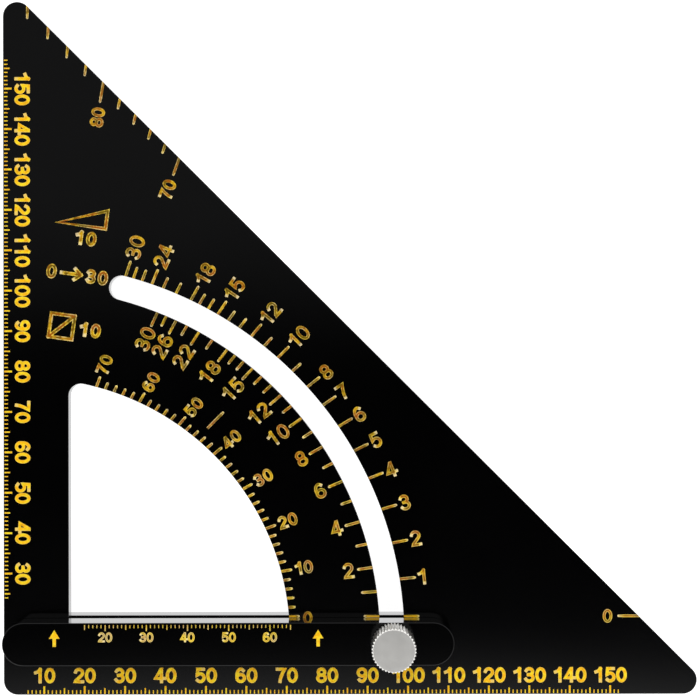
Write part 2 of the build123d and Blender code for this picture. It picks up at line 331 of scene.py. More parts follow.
# %% The washers' finish
acetal, tree, place = new_material("natural_acetal_sheet")
haze = add(tree, "TexNoise", {"Vector": place["Object"], "Scale": 1 / (1.2 * MM), "Detail": 2.0})
milk = add(tree, "Mix", {0: haze["Fac"], 6: "#E2DED2", 7: "#EFECE3"}, data_type="RGBA")
gloss = add(tree, "MapRange", {"Value": haze["Fac"], "To Min": 0.4, "To Max": 0.5})
complete(tree, {"Base Color": milk[2], "Roughness": gloss["Result"], "IOR": 1.48})

# %% [markdown]
# ## Dressing the solids
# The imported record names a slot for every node, so each slot gets one finish here, and the solids
# themselves stay untouched.

# %% Give every solid its finish
finish_of_slot = {
    "anodised_plate": anodised_plate,
    "anodised_bar": anodised_bar,
    "turned_steel": turned_steel,
    "zinc_steel": zinc_plate,
    "washer_plastic": acetal,
}
for subpart in frame["record"]["subparts"]:
    mesh = frame["nodes"][subpart["node"]].data
    mesh.materials.clear()
    mesh.materials.append(finish_of_slot[subpart["material_slot"]])
    print(f"{subpart['node']:20s}", subpart["material_slot"])

# %% [markdown]
# ## Enamel in the engraving
# Graduations are milled and numbers are struck, and both are flooded with yellow enamel and wiped.
# Along its rim the paint is thick and beads, bright yellow in places and pale cream in others,
# and that paleness is partly painted highlight for glints on the cut's walls. Rims that look to
# the lower right are painted lighter still, a painted highlight as if lit from that side, and
# rims also grow brighter towards the plate's lower edge. Further in it sinks. Some troughs stay
# filled and gold, and others are dark olive or amber: thin paint over the dark metal, with
# painted shade for the depth of the cut. On a stroke's free end it dries as a pale heap, partly
# painted highlight.
#
# Each paint mesh carries a number for every point, and the finish reads it: 0 is a rim, 1 a trough
# or a feathered outline, 2 a zero mark beside the fence, painted bright gold as painted light
# against the fence's shade, and -1 the tip of a free end, painted pale cream as a painted
# highlight.

# %% The enamel's finish
enamel, tree, place = new_material("yellow_enamel_in_engraving")
middle = add(tree, "Attribute", attribute_name="paint_middle")
wiping = add(tree, "TexNoise", {"Vector": place["Object"], "Scale": 1 / (3.0 * MM), "Detail": 2.0})
chance = add(tree, "SeparateColor", {"Color": wiping["Color"]})
warmth, chalk_and_highlight, filled = [
    add(tree, "MapRange", {"Value": chance[channel], "From Min": begin, "From Max": end})["Result"]
    for channel, begin, end in (("Red", 0.42, 0.58), ("Green", 0.42, 0.62), ("Blue", 0.5, 0.64))
]
# Dark olive and amber troughs: thin paint over dark metal, with painted shade for the cut's depth.
thin_and_shaded = add(tree, "Mix", {0: warmth, 6: "#6A5400", 7: "#A05400"}, data_type="RGBA")
trough = add(tree, "Mix", {0: filled, 6: thin_and_shaded[2], 7: "#CFA008"}, data_type="RGBA")
beading = add(tree, "TexNoise", {"Vector": place["Object"], "Scale": 1 / (0.7 * MM), "Detail": 1.0})
# Painted highlight: rims whose slope looks to the lower right are painted lighter, as if lit from
# there.
slope = add(tree, "VectorMath", {0: place["Normal"], 1: (0.6, -0.8, 0.0)}, operation="DOT_PRODUCT")
painted_lit_side = add(
    tree,
    "MapRange",
    {"Value": slope["Value"], "From Min": -0.3, "From Max": 0.3, "To Min": -0.2, "To Max": 0.2},
)
beads_and_lit_side = add(tree, "Math", {0: beading["Fac"], 1: painted_lit_side["Result"]}, operation="ADD")
spot = add(tree, "SeparateXYZ", {"Vector": place["Object"]})
# Rims grow brighter towards the plate's lower edge, from 50 mm above the pivot down, and evenly
# below.
towards_lower_edge = add(
    tree, "MapRange", {"Value": spot["Y"], "From Min": 50 * MM, "From Max": 0.0, "To Max": 0.3}
)
heap_and_highlight = add(tree, "Math", {0: beads_and_lit_side["Value"], 1: towards_lower_edge["Result"]}, operation="ADD")
rim_highlight_share = add(tree, "MapRange", {"Value": heap_and_highlight["Value"], "From Min": 0.34, "From Max": 0.66})
# Pale rim colours: beaded paint, partly painted highlight for glints on the cut's walls.
pale_rim_highlight = add(tree, "Mix", {0: chalk_and_highlight, 6: "#FFE052", 7: "#F6DA8E"}, data_type="RGBA")
rim_and_highlight = add(tree, "Mix", {0: rim_highlight_share["Result"], 6: "#8C6C18", 7: pale_rim_highlight[2]}, data_type="RGBA")
coat = add(tree, "Mix", {0: middle["Fac"], 6: rim_and_highlight[2], 7: trough[2]}, data_type="RGBA")
# Painted light: number 2, the zero marks beside the fence, turns them bright gold against its
# shade.
painted_light_share = add(tree, "MapRange", {"Value": middle["Fac"], "From Min": 1.0, "From Max": 2.0})
coat_and_painted_light = add(tree, "Mix", {0: painted_light_share["Result"], 6: coat[2], 7: "#FFC414"}, data_type="RGBA")
# Painted highlight: the tips of free ends (number -1) turn pale cream, for glints on the heaped
# paint.
end_highlight = add(tree, "Math", {0: middle["Fac"], 1: -0.55}, operation="MULTIPLY", use_clamp=True)
paint = add(tree, "Mix", {0: end_highlight["Value"], 6: coat_and_painted_light[2], 7: "#ECDCB4"}, data_type="RGBA")
complete(tree, {"Base Color": paint[2], "Roughness": 0.3, "IOR": 1.5, "Specular IOR Level": 0.2})

# %% [markdown]
# ## Printing ink
# Rulers and arrows are pad-printed in a fuller yellow ink that lies on the surface about 0.03 mm
# thick. Surface tension draws it back from its edges, which leaves a thin, paler rim. The pad
# gives up its ink unevenly, so the yellow wanders between orange and lemon, with a few starved
# spots.

# %% The ink's finish
ink, tree, place = new_material("yellow_pad_printing_ink")
middle = add(tree, "Attribute", attribute_name="paint_middle")
mottle = add(tree, "TexNoise", {"Vector": place["Object"], "Scale": 1 / (1.0 * MM), "Detail": 2.0})
chance = add(tree, "SeparateColor", {"Color": mottle["Color"]})
lemon = add(tree, "MapRange", {"Value": chance["Red"], "From Min": 0.4, "From Max": 0.62})
starved = add(
    tree, "MapRange", {"Value": chance["Green"], "From Min": 0.5, "From Max": 0.68, "To Max": 0.4}
)
full = add(tree, "Mix", {0: lemon["Result"], 6: "#FFBC08", 7: "#FFE020"}, data_type="RGBA")
laid = add(tree, "Mix", {0: starved["Result"], 6: full[2], 7: "#C8900C"}, data_type="RGBA")
paint = add(tree, "Mix", {0: middle["Fac"], 6: "#F0CC68", 7: laid[2]}, data_type="RGBA")
complete(tree, {"Base Color": paint[2], "Roughness": 0.32, "IOR": 1.5, "Specular IOR Level": 0.2})

# %% [markdown]
# ## Making pieces of paint
# Paint is thin, but it is still a body: it has an edge, a rim and a middle. Every piece of paint
# below is a mesh of points and faces in millimetres, gathered from many small patches into one
# object, with its number for the finish on each point.


# %% Gather patches of paint into one piece
def paint_piece(name, patches, finish, body):
    """Join patches (points, faces, numbers) into one object that rides on a body."""
    points, faces, numbers = [], [], []
    for patch_points, patch_faces, patch_numbers in patches:
        first = len(points)
        points.extend(patch_points)
        faces.extend([tuple(first + i for i in face) for face in patch_faces])
        numbers.extend(patch_numbers)
    piece = new_object(name, points, faces, finish)
    layer = piece.data.attributes.new("paint_middle", "FLOAT", "POINT")
    layer.data.foreach_set("value", np.array(numbers, np.float32))
    piece.data.shade_smooth()
    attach(piece, body)
    print(f"{name}: {len(patches)} patches, {len(faces)} faces")


def turned(points, angle, origin=(0.0, 0.0), level=0.0):
    """Turn points (x, y, z) by an angle in degrees, and move them to an origin and a level."""
    x, y, z = np.array(points, float).T
    cos, sin = math.cos(math.radians(angle)), math.sin(math.radians(angle))
    return np.stack([x * cos - y * sin + origin[0], x * sin + y * cos + origin[1], z + level], 1)


# %% [markdown]
# ## Filling the graduations
# Each graduation lies on a reading line: a line at its angle that passes the pivot just beyond the
# fence's upper side, so that a mark on its reading is seen whole beside the fence. The cut's blind
# end is rounded off with two small bevels. The fill is a nest of outlines, each one drawn in from
# the last, that sink from the cut's walls to its middle like the surface of water in a trough. At
# the blind end it rises again: there the cloth pushes some paint out of the cut, onto the face.

# %% Sizes of the cuts, as they are in the solid
plate_top = plate_high.z / MM
line_offset = 5.55  # from the pivot to every reading line
half_width = 0.325  # of a cut
tip_bevel = 0.2
edge_break = 0.1  # bevel along the plate's edges, which opens the cut's outer end
window_radius = 64.56
clamp_radius, half_slot = 89.9, 3.0
plate_size, plate_tip_radius = 171.45, 3.5
heel = (-6.22, -13.77)  # the right-angle corner, from the pivot
long_edge_sum = plate_size + math.sqrt(2) * plate_tip_radius + heel[0] + heel[1]  # x + y along it
long_cut, short_cut = 2.7, 1.8  # round the window
long_slot_cut, short_slot_cut = 3.85, 2.9
long_edge_cut, short_edge_cut = 4.2, 2.0
half_right_radius, half_right_cut = 68.3, 5.4

# Distance in from the cut's wall, the paint's level below the face, and the finish's number.
fill_rings = [(0.0, -0.015, 0.2), (0.1, -0.04, 0.25), (0.18, -0.07, 0.9), (0.3, -0.08, 1.0)]
# Painted light: the three zero marks beside the fence, in its shade, take doubled numbers, which
# the finish paints bright gold.
painted_light_rings = [(inset, level, 2 * number) for inset, level, number in fill_rings]


def round_wall(radius, side):
    """Where a reading line meets a round wall, or a line just inside it."""
    return lambda across, inset: math.sqrt((radius + side * inset) ** 2 - across**2)


def long_wall(angle):
    """Where a reading line at this angle meets the plate's long edge."""
    run, rise = math.cos(math.radians(angle)), math.sin(math.radians(angle))
    return lambda across, inset: (
        (long_edge_sum - math.sqrt(2) * inset - across * (run - rise)) / (run + rise)
    )


# %% One filled graduation
climb = 0.5  # the paint climbs from its level in the cut to the face over this length
climb_end = 0.25  # and is there this far before the blind end
proud, feathered = 0.012, -0.01  # its levels on the face, inside and on the outline
foot, foot_inset = -0.13, 0.03  # the fill's lowest level, at the cut's open end


def fill(angle, wall, length, spill=0.0, rings=fill_rings):
    """Paint for a cut that starts at a wall; a negative length runs back towards the pivot.

    The paint spills this far over the cut's blind end, onto the face.
    """
    side = 1 if length > 0 else -1
    length = abs(length)
    points, numbers = [], []
    for inset, level, number in rings:
        flank = half_width - inset
        end = length + spill - inset * 1.8  # the outlines keep wider apart at the blind end
        shoulder = end - (tip_bevel - inset * (2 - math.sqrt(2)))
        over = min(length - climb_end, shoulder - 0.02)
        blunt = max(half_width - tip_bevel - inset * (math.sqrt(2) - 1), 0.0)
        top = proud if inset else feathered
        heap_and_highlight = 2 * (inset / rings[-1][0]) ** 2 - 1

        def flank_points(way):
            """Points along one long side, from the wall to the blind end."""
            open_end, mouth = (
                wall(line_offset + way * flank, depth) for depth in (foot_inset, edge_break)
            )
            far = [
                (wall(line_offset, 0.0) + side * distance, way * aside, z)
                for distance, aside, z in (
                    (over - climb, flank, level),
                    (over, flank, top),
                    (shoulder, flank, top),
                    (end, blunt, top),
                )
            ]
            return [(open_end, way * flank, foot), (mouth, way * flank, level)] + far

        points += flank_points(1) + flank_points(-1)[::-1]
        # The finish's number changes from the ring's own to the end's as the paint climbs; the
        # outline goes to -1 there, a pale painted highlight at the blind end.
        along = (edge_break, over - climb, over, shoulder, end)
        flank_numbers = [number * 0.6]
        flank_numbers += np.interp(along, (over - climb, shoulder), (number, heap_and_highlight)).tolist()
        numbers += flank_numbers + flank_numbers[::-1]
    count = 2 * len(flank_numbers)  # points in a ring
    faces = []
    for ring in range(len(rings) - 1):
        for i in range(count - 1):
            outer, inner = count * ring + i, count * (ring + 1) + i
            faces.append((outer, outer + 1, inner + 1, inner))
    last = count * (len(rings) - 1)
    faces += [
        (last + i, last + i + 1, last + count - 2 - i, last + count - 1 - i)
        for i in range(count // 2 - 1)
    ]
    if side > 0:
        faces = [face[::-1] for face in faces]
    points = [(x, y + line_offset, z) for x, y, z in points]
    return turned(points, angle, level=plate_top), faces, numbers


# %% Degrees round the window and along the long edge
window_wall = round_wall(window_radius, 1)
degree_fills = [fill(0, window_wall, long_cut, rings=painted_light_rings)]
for angle in range(2, 71, 2):
    degree_fills.append(fill(angle, window_wall, short_cut if angle % 10 else long_cut, 0.2))
half_right_start = math.sqrt(half_right_radius**2 - line_offset**2)
degree_fills.append(
    fill(45, lambda across, inset: half_right_start - foot_inset + inset, half_right_cut, 0.5)
)
paint_piece("degree_graduations", degree_fills, enamel, "square")

# The paint of these marks ends on two lines that run beside the long edge.
long_edge_paint, short_edge_paint = 4.3, 2.3
edge_fills = [fill(0, long_wall(0), -long_edge_cut, 1.15)]
for angle in range(70, 89, 2):
    cut, paint_end = long_edge_cut, long_edge_paint
    if angle % 10:
        cut, paint_end = short_edge_cut, short_edge_paint
    spill = paint_end / math.sin(math.radians(angle + 45)) - cut
    edge_fills.append(fill(angle, long_wall(angle), -cut, spill))
paint_piece("long_edge_graduations", edge_fills, enamel, "square")

# %% Slopes on both sides of the slot
# The outer scale gives the rise for a run of ten. The inner scale gives the rise of the same
# slope seen along its diagonal, where the run is longer by the square root of two.
outer_long = (1, 2, 3, 4, 5, 6, 7, 8, 10, 12, 15, 18, 24, 30)
outer_short = (9, 11, 13, 14, 16, 17, 20, 22, 26, 28)
inner_long = (1, 2, 4, 6, 8, 10, 12, 15, 18, 22, 26, 30)
inner_short = (3, 5, 7, 9, 11, 13, 14, 16, 17, 20, 24, 28)


def outer_angle(rise):
    return math.degrees(math.atan(rise / 10))


def inner_angle(rise):
    return math.degrees(math.atan(rise / 10 / math.sqrt(2)))


outer_wall = round_wall(clamp_radius + half_slot, 1)
inner_wall = round_wall(clamp_radius - half_slot, -1)
slope_fills = [fill(0, outer_wall, long_slot_cut, 0.1, painted_light_rings)]
slope_fills += [fill(0, inner_wall, -long_slot_cut, 0.1, painted_light_rings)]
slope_fills += [fill(outer_angle(rise), outer_wall, long_slot_cut, 0.3) for rise in outer_long]
slope_fills += [fill(outer_angle(rise), outer_wall, short_slot_cut, 0.2) for rise in outer_short]
slope_fills += [fill(inner_angle(rise), inner_wall, -long_slot_cut, 0.15) for rise in inner_long]
slope_fills += [fill(inner_angle(rise), inner_wall, -short_slot_cut) for rise in inner_short]
paint_piece("slope_graduations", slope_fills, enamel, "square")

# %% [markdown]
# ## Numerals
# The numerals are struck with steel punches, whose strokes have one width, mitred corners and
# blunt, slightly rounded ends. So a numeral here is a list of middle lines, made of arcs and
# straight runs in a box one unit high, and a stroke width. The paint's height at any point depends
# only on how far it is from the nearest middle line, which also settles where strokes cross.


# %% Middle lines of the ten numerals
def arc(x, y, across, up, start, end, steps=14):
    """Points along a part of an ellipse; a full turn closes on itself."""
    turn = np.radians(np.linspace(start, end, steps + 1))
    return list(zip(x + across * np.cos(turn), y + up * np.sin(turn)))


numeral_lines = {
    "0": [arc(0, 0, 0.25, 0.4, 90, 450, 28)],
    "1": [[(0.1, 0.4), (0.1, -0.4)], [(-0.19, 0.19), (-0.06, 0.235), (0.03, 0.31), (0.1, 0.4)]],
    "2": [arc(0, 0.175, 0.235, 0.225, 165, -38) + [(-0.2, -0.32), (-0.245, -0.4), (0.24, -0.4)]],
    "3": [
        arc(0, 0.205, 0.215, 0.195, 158, -90) + [(-0.06, 0.01)],
        [(-0.06, 0.01)] + arc(0, -0.19, 0.245, 0.21, 90, -156),
    ],
    "4": [[(0.3, -0.19), (-0.29, -0.19), (0.07, 0.4), (0.11, 0.4), (0.11, -0.4)]],
    "5": [[(0.21, 0.4), (-0.165, 0.4), (-0.2, 0.02)] + arc(0, -0.145, 0.25, 0.255, 150, -138)],
    "6": [arc(0, -0.17, 0.245, 0.23, 180, 540, 24), arc(0.01, 0, 0.255, 0.4, 50, 185, 12)],
    "7": [[(-0.25, 0.4), (0.25, 0.4), (0.12, 0.2), (0.01, -0.05), (-0.05, -0.25), (-0.07, -0.4)]],
    "8": [arc(0, 0.2, 0.21, 0.2, 90, 450, 22), arc(0, -0.19, 0.245, 0.21, 90, 450, 24)],
    "9": [arc(0, 0.17, 0.245, 0.23, 0, 360, 24), arc(-0.01, 0, 0.255, 0.4, 230, 365, 12)],
}
print("numerals:", " ".join(numeral_lines))

# %% [markdown]
# The mesh of a stroke needs edges that follow it: a pair of lines at the paint's outline, and a
# pair for each level further in. Those lines cross where strokes meet, and a constrained
# triangulation sorts that out. Triangles further from the middle lines than half a stroke are
# thrown away, which leaves exactly the painted shape. Lines and distances have to agree about
# corners, so both cut a long mitre off.


# %% Lines beside a stroke
longest_mitre = 1.5  # times the distance of a straight run's outline
squareness = 8  # of a stroke's ends: 2 would make them round


def runs_of(line):
    """The directions and lengths of a line's straight runs, and whether it closes on itself."""
    steps = np.diff(line, axis=0)
    lengths = np.linalg.norm(steps, axis=1)
    return steps / lengths[:, None], lengths, np.allclose(line[0], line[-1])


def cap(tip, ahead, distance):
    """Points round a stroke's end, from left to right as seen along ahead: a rounded square."""
    left = np.array([-ahead[1], ahead[0]])
    turn = np.radians(np.linspace(90, -90, 9))
    along = np.abs(np.cos(turn)) ** (2 / squareness)
    across = np.sign(np.sin(turn)) * np.abs(np.sin(turn)) ** (2 / squareness)
    return tip + distance * (np.outer(along, ahead) + np.outer(across, left))


def beside(line, distance):
    """The outline of a stroke at this distance from its middle line, as one or two loops."""
    steps, _, closed = runs_of(line)
    before = np.roll(steps, 1, 0) if closed else steps[:-1]
    after = steps if closed else steps[1:]
    corner = line[:-1] if closed else line[1:-1]
    ahead = before + after
    ahead /= np.linalg.norm(ahead, axis=1)[:, None]
    mitre = np.minimum(1 / np.sum(ahead * after, axis=1), longest_mitre)
    reach = distance * mitre[:, None] * np.stack([-ahead[:, 1], ahead[:, 0]], 1)
    if closed:
        return [corner + reach, corner - reach]
    start, end = cap(line[0], -steps[0], distance), cap(line[-1], steps[-1], distance)
    return [np.concatenate([start, corner + reach, end, (corner - reach)[::-1]])]


def distance_to_line(points, line):
    """How far each point is from one middle line, round corners and ends as beside() goes."""
    steps, lengths, closed = runs_of(line)
    offset = points[:, None] - line[:-1]
    along = offset[..., 0] * steps[:, 0] + offset[..., 1] * steps[:, 1]
    aside = np.abs(offset[..., 1] * steps[:, 0] - offset[..., 0] * steps[:, 1])
    past = along - lengths
    nearest = np.where((along >= 0) & (past <= 0), aside, np.inf).min(axis=1)
    # In the wedge outside a corner both runs count, and the mitre's limit.
    before = np.roll(np.arange(len(steps)), 1)
    mitre = np.maximum(aside[:, before], aside)
    mitre = np.maximum(mitre, np.hypot(aside, along) / longest_mitre)
    wedge = np.where((past[:, before] > 0) & (along < 0), mitre, np.inf)
    nearest = np.minimum(nearest, wedge[:, 0 if closed else 1 :].min(axis=1, initial=np.inf))
    if not closed:
        for side, beyond in ((aside[:, 0], -along[:, 0]), (aside[:, -1], past[:, -1])):
            rounded = (side**squareness + beyond**squareness) ** (1 / squareness)
            nearest = np.minimum(nearest, np.where(beyond > 0, rounded, np.inf))
    return nearest


def distance_to_lines(points, lines):
    """How far each point is from the nearest of the middle lines."""
    return np.min([distance_to_line(points, line) for line in lines], axis=0)


# %% [markdown]
# Paint heaps up at the free ends of a stroke as it does at its edges, and the pale cream painted
# there is partly painted highlight. So every free end gets a shoulder, an extra point a little way
# back along its line, and the finish's number falls from the shoulder to the end.


# %% Free ends
shoulder_share = 0.7  # of the stroke's width, from a free end back to its shoulder
end_highlight_length, end_highlight_reach = 0.65, 0.95  # of the same, along the stroke and all round its end


def with_shoulders(line, distance):
    """Add a point at this distance from each end of an open line, where its last run is longer."""
    line = [np.array(point, float) for point in line]
    if np.allclose(line[0], line[-1]):
        return np.array(line)
    for end, inner, place in ((0, 1, 1), (-1, -2, -1)):
        run = line[inner] - line[end]
        if np.linalg.norm(run) > 1.3 * distance:
            line.insert(place, line[end] + run * distance / np.linalg.norm(run))
    return np.array(line)


def free_ends(lines, width):
    """Ends of open lines that don't lie within another line's stroke, and the ways into them."""
    ends = []
    for i, line in enumerate(lines):
        others = lines[:i] + lines[i + 1 :]
        if np.allclose(line[0], line[-1]):
            continue
        for end, inner in ((line[0], line[1]), (line[-1], line[-2])):
            if not others or distance_to_lines(end[None], others)[0] > width / 2:
                ends.append((end, (inner - end) / np.linalg.norm(inner - end)))
    return ends


# %% Strokes to a mesh
def strokes(lines, width, rings):
    """Points, triangles and finish numbers for strokes along middle lines.

    Each ring is a distance in from the paint's outline, the paint's level and its number.
    """
    outline = width / 2
    lines = [with_shoulders(line, shoulder_share * width) for line in lines]
    flat, edges = [], []
    for line in lines:
        for inset, _, _ in rings:
            if outline - inset < 0.02:  # the ring has closed up on the middle line
                loops, closed = [line], False
            else:
                loops, closed = beside(line, outline - inset), True
            for loop in loops:
                first = len(flat)
                flat.extend(loop.tolist())
                count = len(loop)
                edges += [(first + i, first + i + 1) for i in range(count - 1)]
                if closed:
                    edges.append((first + count - 1, first))
    made = geometry.delaunay_2d_cdt(flat, edges, [], 0, 1e-5, False)
    corners, triangles = np.array([tuple(v) for v in made[0]]), np.array(made[2])
    centres = corners[triangles].mean(axis=1)
    kept = triangles[distance_to_lines(centres, lines) < outline]
    used, renumbered = np.unique(kept, return_inverse=True)
    corners = corners[used]
    inset = outline - distance_to_lines(corners, lines)
    level = np.interp(inset, [r[0] for r in rings], [r[1] for r in rings])
    number = np.interp(inset, [r[0] for r in rings], [r[2] for r in rings])
    for end, inwards in free_ends(lines, width):
        offset = (corners - end) / width
        heap_and_highlight = 1 - np.clip(offset @ inwards / end_highlight_length, 0, 1)
        heap_and_highlight[np.linalg.norm(offset, axis=1) > end_highlight_reach] = 0
        number = number * (1 - heap_and_highlight) - heap_and_highlight
    points = np.column_stack([corners, level])
    return points, renumbered.reshape(-1, 3).tolist(), number.tolist()


# %% [markdown]
# A label is a row of numerals along its reading line, each at its own distance from the pivot.
# Every numeral of one size is made once and then copied, as the engraver's brass template is. A
# struck one has a dark, feathered outline, a bright rim and a sunk middle. A printed one is flat.

# %% Numeral templates and labels
# Rim rings take the pale rim colour, partly painted highlight; middles take the darker trough's.
struck_rings = [
    (0.0, -0.01, 1.0),
    (0.1, 0.014, 0.4),
    (0.18, 0.022, 0.35),
    (0.26, 0.016, 0.95),
    (0.42, 0.008, 1.0),
]
printed_rings = [(0.0, -0.01, 0.0), (0.08, 0.025, 0.7), (0.22, 0.03, 1.0)]
templates = {}


def numeral(digit, height, width, rings):
    """A numeral of this height and stroke width, centred on the origin."""
    key = (digit, height, width)
    if key not in templates:
        scale = (height - width) / 0.8  # the middle lines are 0.8 high in their box
        lines = [[(x * scale, y * scale) for x, y in line] for line in numeral_lines[digit]]
        templates[key] = strokes(lines, width, rings)
    return templates[key]


def label(text, size, centres, angle, rings=struck_rings, level=plate_top):
    """Numerals at their centres, all turned by one angle; size is their height and stroke."""
    patches = []
    for digit, centre in zip(text, centres):
        points, faces, numbers = numeral(digit, *size, rings)
        patches.append((turned(points, angle, centre, level), faces, numbers))
    return patches


def reading(text, size, radii, angle):
    """Numerals along one reading line, each at its distance from the pivot."""
    centres = [(math.sqrt(radius**2 - line_offset**2), line_offset, 0.0) for radius in radii]
    return label(text, size, turned(centres, angle)[:, :2], angle)


# %% Numbers of the degree scales
tight = 0.3  # a 1 takes less room than the other numerals
round_size, edge_size, zero_size = (3.38, 0.8), (3.53, 0.82), (3.48, 0.78)
first_radius, second_radius = 69.15, 71.7
edge_numbers = (("80", (17.15, 129.1)), ("70", (34.5, 111.2)))  # along the long edge
edge_half_pitch = 1.24
zero_middles = ((69.0, 5.1), (143.15, 5.55))

degree_numbers = []
for angle in range(10, 71, 10):
    narrow = tight if angle < 20 else 0.0
    radii = (first_radius - 0.3 * narrow, second_radius - narrow)
    degree_numbers += reading(str(angle), round_size, radii, angle)
for text, middle in edge_numbers:
    step = turned([(edge_half_pitch, 0.0, 0.0)], int(text))[0][:2]
    centres = [np.array(middle) - step, np.array(middle) + step]
    degree_numbers += label(text, edge_size, centres, int(text))
for middle in zero_middles:
    degree_numbers += label("0", zero_size, [middle], 0)
# Painted shade: the zero nearer the pivot lies in the fence's shadow, so its rim takes the darker
# trough colour.
points, faces, numbers = degree_numbers[-2]
degree_numbers[-2] = (points, faces, [max(number, 0.75) for number in numbers])
paint_piece("degree_numbers", degree_numbers, enamel, "square")

# %% Numbers of the slope scales
slope_size = (4.03, 0.83)
first_outer_radius, second_outer_radius = 98.9, 102.0
first_inner_radius, second_inner_radius, lone_inner_radius = 78.1, 81.2, 80.85

slope_numbers = []
for rise in outer_long:
    angle, text = outer_angle(rise), str(rise)
    narrow = tight if text[0] == "1" else 0.0
    radii = (first_outer_radius - 1.1 * narrow,)
    if len(text) > 1:
        radii = (first_outer_radius - 0.3 * narrow, second_outer_radius - narrow)
    slope_numbers += reading(text, slope_size, radii, angle)
for rise in inner_long[1:]:
    angle, text = inner_angle(rise), str(rise)
    radii = (first_inner_radius, second_inner_radius) if len(text) > 1 else (lone_inner_radius,)
    slope_numbers += reading(text, slope_size, radii, angle)
paint_piece("slope_numbers", slope_numbers, enamel, "square")

# %% [markdown]
# ## Signs of the two slope scales
# Each slope scale needs a sign that says how its run is measured. The outer one is a side view of a
# roof: a right triangle on a level run of ten. The inner one is a plan: a square with sides of ten,
# whose diagonal is the line along which the same roof is seen. Between them stands the range of
# both scales, 0 to 30. All are struck like the numerals, in bolder strokes, and a little tilted.

# %% Three struck signs
sign_rings = [
    (0.0, -0.01, 1.0),
    (0.1, 0.014, 0.05),
    (0.19, 0.024, 0.0),
    (0.29, 0.018, 0.95),
    (0.49, 0.008, 1.0),
]
sign_tilt, sign_size = -8, (3.73, 0.98)
side_view = [[(-6.0, -1.9), (6.0, -1.9), (6.0, 2.6), (-6.0, -1.9)]]
plan_view = [
    [(-2.9, -2.9), (2.9, -2.9), (2.9, 2.9), (-2.9, 2.9), (-2.9, -2.9)],
    [(-2.9, -2.9), (2.9, 2.9)],
]
range_arrow = [[(-2.4, 0.0), (2.4, 0.0)], [(0.9, 1.3), (2.4, 0.0), (0.9, -1.3)]]


def sign(lines, place, numerals):
    """A struck drawing with numerals beside it, all tilted with the scales."""
    points, faces, numbers = strokes(lines, sign_size[1], sign_rings)
    patches = [(turned(points, sign_tilt, place, plate_top), faces, numbers)]
    for digit, x, y in numerals:
        centre = turned([(x, y, 0.0)], sign_tilt, place)[0][:2]
        patches += label(digit, sign_size, [centre], sign_tilt, sign_rings)
    return patches


signs = sign(side_view, (13.4, 104.2), [("1", 0.0, -4.9), ("0", 2.9, -4.9)])
signs += sign(range_arrow, (10.6, 90.4), [("0", -4.9, 0.0), ("3", 4.9, 0.0), ("0", 7.9, 0.0)])
signs += sign(plan_view, (8.2, 77.4), [("1", 5.6, 0.0), ("0", 8.5, 0.0)])
paint_piece("slope_signs", signs, enamel, "square")

# %% [markdown]
# ## Printed rulers
# Both square edges carry a millimetre ruler that counts from the right-angle corner. A printed
# mark is a flat patch with a slightly lower rim, which takes one outline, one inset outline and a
# face in the middle.


# %% A flat printed patch
rim, thickness = 0.07, 0.025  # of a patch: the width of its sloping rim, and its height
sunk = -0.01  # the level of its outline, a hair below the face


def printed_patch(outline, level, number=1.0):
    """A patch with a sloping rim; its outline runs counter-clockwise."""
    outer = np.array(outline, float)
    ahead = np.roll(outer, -1, 0) - outer
    ahead /= np.linalg.norm(ahead, axis=1)[:, None]
    behind = np.roll(ahead, 1, 0)
    inwards = np.stack([-(ahead + behind)[:, 1], (ahead + behind)[:, 0]], 1)
    inner = outer + rim * inwards / (1 + np.sum(ahead * behind, axis=1))[:, None]
    count = len(outer)
    lower = np.column_stack([outer, np.full(count, level + sunk)])
    upper = np.column_stack([inner, np.full(count, level + thickness)])
    faces = [(i, (i + 1) % count, count + (i + 1) % count, count + i) for i in range(count)]
    faces.append(tuple(range(count, 2 * count)))
    return np.concatenate([lower, upper]), faces, [0.0] * count + [number] * count


def bar_mark(x, y, length, width, level, number=1.0):
    """An upright mark that stands on (x, y)."""
    half = width / 2
    outline = [(x - half, y), (x + half, y), (x + half, y + length), (x - half, y + length)]
    return printed_patch(outline, level, number)


# %% One ruler
ruler_marks = {10: (1.95, 0.5), 5: (1.45, 0.38), 1: (0.95, 0.3)}  # length and width
mark_margin = 0.2  # from the plate's edge
ruler_size, ruler_pitch, ruler_numbers_up = (3.9, 0.86), 2.8, 4.75


def size_at(distance, marks):
    """Length and width of the mark at a distance: the coarsest step that it is on."""
    return next(size for step, size in marks.items() if distance % step == 0)


def ruler(first, last, way):
    """Marks and numbers for distances from a corner, laid out along X; way is 1 or -1."""
    patches = []
    for distance in range(first, last + 1):
        x = way * distance
        if distance % 10 == 0:
            text = str(distance)
            start = x - ruler_pitch * (len(text) - 1) / 2
            centres = [(start + ruler_pitch * i, ruler_numbers_up) for i in range(len(text))]
            patches += label(text, ruler_size, centres, 0, printed_rings)
        patches.append(bar_mark(x, mark_margin, *size_at(distance, ruler_marks), plate_top))
    return patches


# %% Rulers along the two square edges
# The left ruler is laid out to the left of the corner and then turned clockwise, so that it runs up
# the left edge and its numbers keep the edge below them.
lower_ruler = [(turned(patch[0], 0, heel), *patch[1:]) for patch in ruler(6, 152, 1)]
left_ruler = [(turned(patch[0], -90, heel), *patch[1:]) for patch in ruler(24, 157, -1)]
paint_piece("lower_edge_ruler", lower_ruler, ink, "square")
paint_piece("left_edge_ruler", left_ruler, ink, "square")

# %% [markdown]
# ## Marks on the fence
# Two printed arrows show that the fence is read at its upper side. Between them stands a finer
# scale, struck and enamelled: millimetres from the pivot, with the marks hanging from that side.

